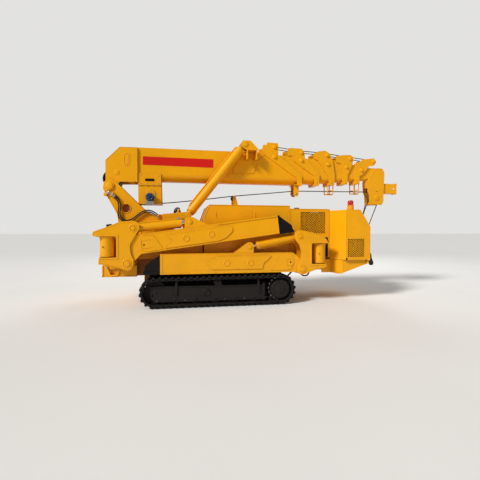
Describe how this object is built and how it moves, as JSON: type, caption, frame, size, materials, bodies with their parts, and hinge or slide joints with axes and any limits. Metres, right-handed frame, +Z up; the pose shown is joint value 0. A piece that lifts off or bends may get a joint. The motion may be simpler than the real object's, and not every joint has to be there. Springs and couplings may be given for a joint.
{
  "type": "mini crawler crane",
  "caption": "Compact tracked crane with a telescopic boom, slewing post, luffing cylinders, winch and hook, and folding outriggers that swing out and lower to the ground.",
  "frame": {"origin": "ground under the middle of the stowed machine", "axes": "+X from the turret end to the engine end, along the stowed boom, +Z up, -Y the side seen in the picture"},
  "size_m": [4.192, 1.324, 2.129],
  "materials": {
    "yellow": "gloss",
    "black_paint": "satin",
    "frame_grey": "satin",
    "rubber": "matte",
    "steel": "satin",
    "lamp": "gloss",
    "blue": "satin",
    "mesh": "matte"
  },
  "bodies": {
    "chassis": {"main_frame": "yellow", "front_bearer": "yellow", "pedestal": "yellow", "rear_bearers": "yellow", "slew_ring": "black_paint", "tracks": "rubber", "track_frames": "frame_grey", "sprockets": "frame_grey", "track_rollers": "frame_grey", "cabinet": "yellow", "engine_cowl": "yellow", "engine_hood": "yellow", "hood_skirt": "yellow", "grilles": "mesh", "engine_block": "steel", "beacon": "lamp", "rope_roller_stand": "yellow", "lashing_hoops": "yellow", "hood_latches": "rubber"},
    "turret": {"turret": "yellow", "lower_hose": "rubber", "upper_hose": "rubber"},
    "boom_1": {"boom_base": "yellow", "winch_frame": "yellow", "winch_drum": "steel", "winch_motor": "blue", "hose_sheave": "black_paint"},
    "luff_barrel": {"luff_barrels": "yellow"},
    "luff_stage": {"luff_stages": "steel"},
    "luff_rod": {"luff_rods": "steel"},
    "boom_2": {"boom_section_2": "yellow"},
    "boom_3": {"boom_section_3": "yellow"},
    "boom_4": {"boom_section_4": "yellow"},
    "boom_5": {"boom_section_5": "yellow"},
    "boom_6": {"boom_section_6": "yellow", "head_sheave": "steel", "jib_stub": "yellow"},
    "hook": {"hook_block": "yellow", "hook": "black_paint"},
    "front_left_knuckle": {"front_left_knuckle": "yellow"},
    "front_left_beam": {"front_left_beam": "yellow", "front_left_foot": "black_paint"},
    "front_left_cylinder": {"front_left_cylinder": "yellow"},
    "front_left_rod": {"front_left_rod": "steel"},
    "front_right_knuckle": {"front_right_knuckle": "yellow"},
    "front_right_beam": {"front_right_beam": "yellow", "front_right_foot": "black_paint"},
    "front_right_cylinder": {"front_right_cylinder": "yellow"},
    "front_right_rod": {"front_right_rod": "steel"},
    "rear_left_knuckle": {"rear_left_knuckle": "yellow"},
    "rear_left_beam": {"rear_left_beam": "yellow", "rear_left_foot": "black_paint"},
    "rear_left_cylinder": {"rear_left_cylinder": "yellow"},
    "rear_left_rod": {"rear_left_rod": "steel"},
    "rear_right_knuckle": {"rear_right_knuckle": "yellow"},
    "rear_right_beam": {"rear_right_beam": "yellow", "rear_right_foot": "black_paint"},
    "rear_right_cylinder": {"rear_right_cylinder": "yellow"},
    "rear_right_rod": {"rear_right_rod": "steel"}
  },
  "joints": [
    {"name": "slew", "type": "hinge", "parent": "chassis", "child": "turret", "pos_m": [-1.517, 0, 0.99], "axis": [0, 0, 1], "continuous": true},
    {"name": "luff", "type": "hinge", "parent": "turret", "child": "boom_1", "pos_m": [-1.99, 0, 1.48], "axis": [0, -1, 0], "range_deg": [0, 70]},
    {"name": "luff_barrel_pivot", "type": "hinge", "parent": "boom_1", "child": "luff_barrel", "pos_m": [-0.275, 0, 2.065], "axis": [0, -1, 0], "range_deg": [-8.92, 0.2]},
    {"name": "luff_stage_slide", "type": "slide", "parent": "luff_barrel", "child": "luff_stage", "axis": [-0.6189, 0, -0.7854], "range_m": [0, 0.5797]},
    {"name": "luff_rod_slide", "type": "slide", "parent": "luff_stage", "child": "luff_rod", "axis": [-0.6189, 0, -0.7854], "range_m": [0, 0.5797]},
    {"name": "tele_2", "type": "slide", "parent": "boom_1", "child": "boom_2", "axis": [1, 0, 0], "range_m": [0, 1.6]},
    {"name": "tele_3", "type": "slide", "parent": "boom_2", "child": "boom_3", "axis": [1, 0, 0], "range_m": [0, 1.6]},
    {"name": "tele_4", "type": "slide", "parent": "boom_3", "child": "boom_4", "axis": [1, 0, 0], "range_m": [0, 1.6]},
    {"name": "tele_5", "type": "slide", "parent": "boom_4", "child": "boom_5", "axis": [1, 0, 0], "range_m": [0, 1.6]},
    {"name": "tele_6", "type": "slide", "parent": "boom_5", "child": "boom_6", "axis": [1, 0, 0], "range_m": [0, 1.6]},
    {"name": "hook_swing", "type": "hinge", "parent": "boom_6", "child": "hook", "pos_m": [1.754, 0, 1.406], "axis": [0, -1, 0], "range_deg": [-52.51, 0.5]},
    {"name": "front_left_swing", "type": "hinge", "parent": "chassis", "child": "front_left_knuckle", "pos_m": [-1.956, -0.56, 0.7], "axis": [0, 0, -1], "range_deg": [0, 135]},
    {"name": "front_left_lift", "type": "hinge", "parent": "front_left_knuckle", "child": "front_left_beam", "pos_m": [-1.726, -0.56, 0.536], "axis": [0, 1, 0], "range_deg": [0, 25.46]},
    {"name": "front_left_cylinder_pivot", "type": "hinge", "parent": "front_left_knuckle", "child": "front_left_cylinder", "pos_m": [-1.658, -0.56, 0.943], "axis": [0, 1, 0], "range_deg": [0, 26.23]},
    {"name": "front_left_rod_slide", "type": "slide", "parent": "front_left_cylinder", "child": "front_left_rod", "axis": [0.9932, 0, 0.1167], "range_m": [0, 0.1821]},
    {"name": "front_right_swing", "type": "hinge", "parent": "chassis", "child": "front_right_knuckle", "pos_m": [-1.956, 0.56, 0.7], "axis": [0, 0, 1], "range_deg": [0, 135]},
    {"name": "front_right_lift", "type": "hinge", "parent": "front_right_knuckle", "child": "front_right_beam", "pos_m": [-1.726, 0.56, 0.536], "axis": [0, 1, 0], "range_deg": [0, 25.46]},
    {"name": "front_right_cylinder_pivot", "type": "hinge", "parent": "front_right_knuckle", "child": "front_right_cylinder", "pos_m": [-1.658, 0.56, 0.943], "axis": [0, 1, 0], "range_deg": [0, 26.23]},
    {"name": "front_right_rod_slide", "type": "slide", "parent": "front_right_cylinder", "child": "front_right_rod", "axis": [0.9932, 0, 0.1167], "range_m": [0, 0.1821]},
    {"name": "rear_left_swing", "type": "hinge", "parent": "chassis", "child": "rear_left_knuckle", "pos_m": [0.64, -0.56, 0.7], "axis": [0, 0, 1], "range_deg": [0, 135]},
    {"name": "rear_left_lift", "type": "hinge", "parent": "rear_left_knuckle", "child": "rear_left_beam", "pos_m": [0.385, -0.56, 0.434], "axis": [0, -1, 0], "range_deg": [0, 11.91]},
    {"name": "rear_left_cylinder_pivot", "type": "hinge", "parent": "rear_left_knuckle", "child": "rear_left_cylinder", "pos_m": [0.348, -0.56, 0.846], "axis": [0, -1, 0], "range_deg": [0, 10.51]},
    {"name": "rear_left_rod_slide", "type": "slide", "parent": "rear_left_cylinder", "child": "rear_left_rod", "axis": [-0.98, 0, -0.1991], "range_m": [0, 0.0847]},
    {"name": "rear_right_swing", "type": "hinge", "parent": "chassis", "child": "rear_right_knuckle", "pos_m": [0.64, 0.56, 0.7], "axis": [0, 0, -1], "range_deg": [0, 135]},
    {"name": "rear_right_lift", "type": "hinge", "parent": "rear_right_knuckle", "child": "rear_right_beam", "pos_m": [0.385, 0.56, 0.434], "axis": [0, -1, 0], "range_deg": [0, 11.91]},
    {"name": "rear_right_cylinder_pivot", "type": "hinge", "parent": "rear_right_knuckle", "child": "rear_right_cylinder", "pos_m": [0.348, 0.56, 0.846], "axis": [0, -1, 0], "range_deg": [0, 10.51]},
    {"name": "rear_right_rod_slide", "type": "slide", "parent": "rear_right_cylinder", "child": "rear_right_rod", "axis": [-0.98, 0, -0.1991], "range_m": [0, 0.0847]}
  ],
  "couplings": [
    {"joint": "luff_barrel_pivot", "follows": "luff", "ratio": -0.12453},
    {"joint": "luff_stage_slide", "follows": "luff", "m_per_rad": 0.47281},
    {"joint": "luff_rod_slide", "follows": "luff", "m_per_rad": 0.47281},
    {"joint": "tele_3", "follows": "tele_2", "ratio": 1},
    {"joint": "tele_4", "follows": "tele_2", "ratio": 1},
    {"joint": "tele_5", "follows": "tele_2", "ratio": 1},
    {"joint": "tele_6", "follows": "tele_2", "ratio": 1},
    {"joint": "hook_swing", "follows": "luff", "ratio": -0.743},
    {"joint": "front_left_lift", "follows": "front_left_swing", "ratio": 0.18708},
    {"joint": "front_left_cylinder_pivot", "follows": "front_left_swing", "ratio": 0.19279},
    {"joint": "front_left_rod_slide", "follows": "front_left_swing", "m_per_rad": 0.076457},
    {"joint": "front_right_lift", "follows": "front_right_swing", "ratio": 0.18708},
    {"joint": "front_right_cylinder_pivot", "follows": "front_right_swing", "ratio": 0.19279},
    {"joint": "front_right_rod_slide", "follows": "front_right_swing", "m_per_rad": 0.076457},
    {"joint": "rear_left_lift", "follows": "rear_left_swing", "ratio": 0.086718},
    {"joint": "rear_left_cylinder_pivot", "follows": "rear_left_swing", "ratio": 0.076356},
    {"joint": "rear_left_rod_slide", "follows": "rear_left_swing", "m_per_rad": 0.035092},
    {"joint": "rear_right_lift", "follows": "rear_right_swing", "ratio": 0.086718},
    {"joint": "rear_right_cylinder_pivot", "follows": "rear_right_swing", "ratio": 0.076356},
    {"joint": "rear_right_rod_slide", "follows": "rear_right_swing", "m_per_rad": 0.035092}
  ]
}
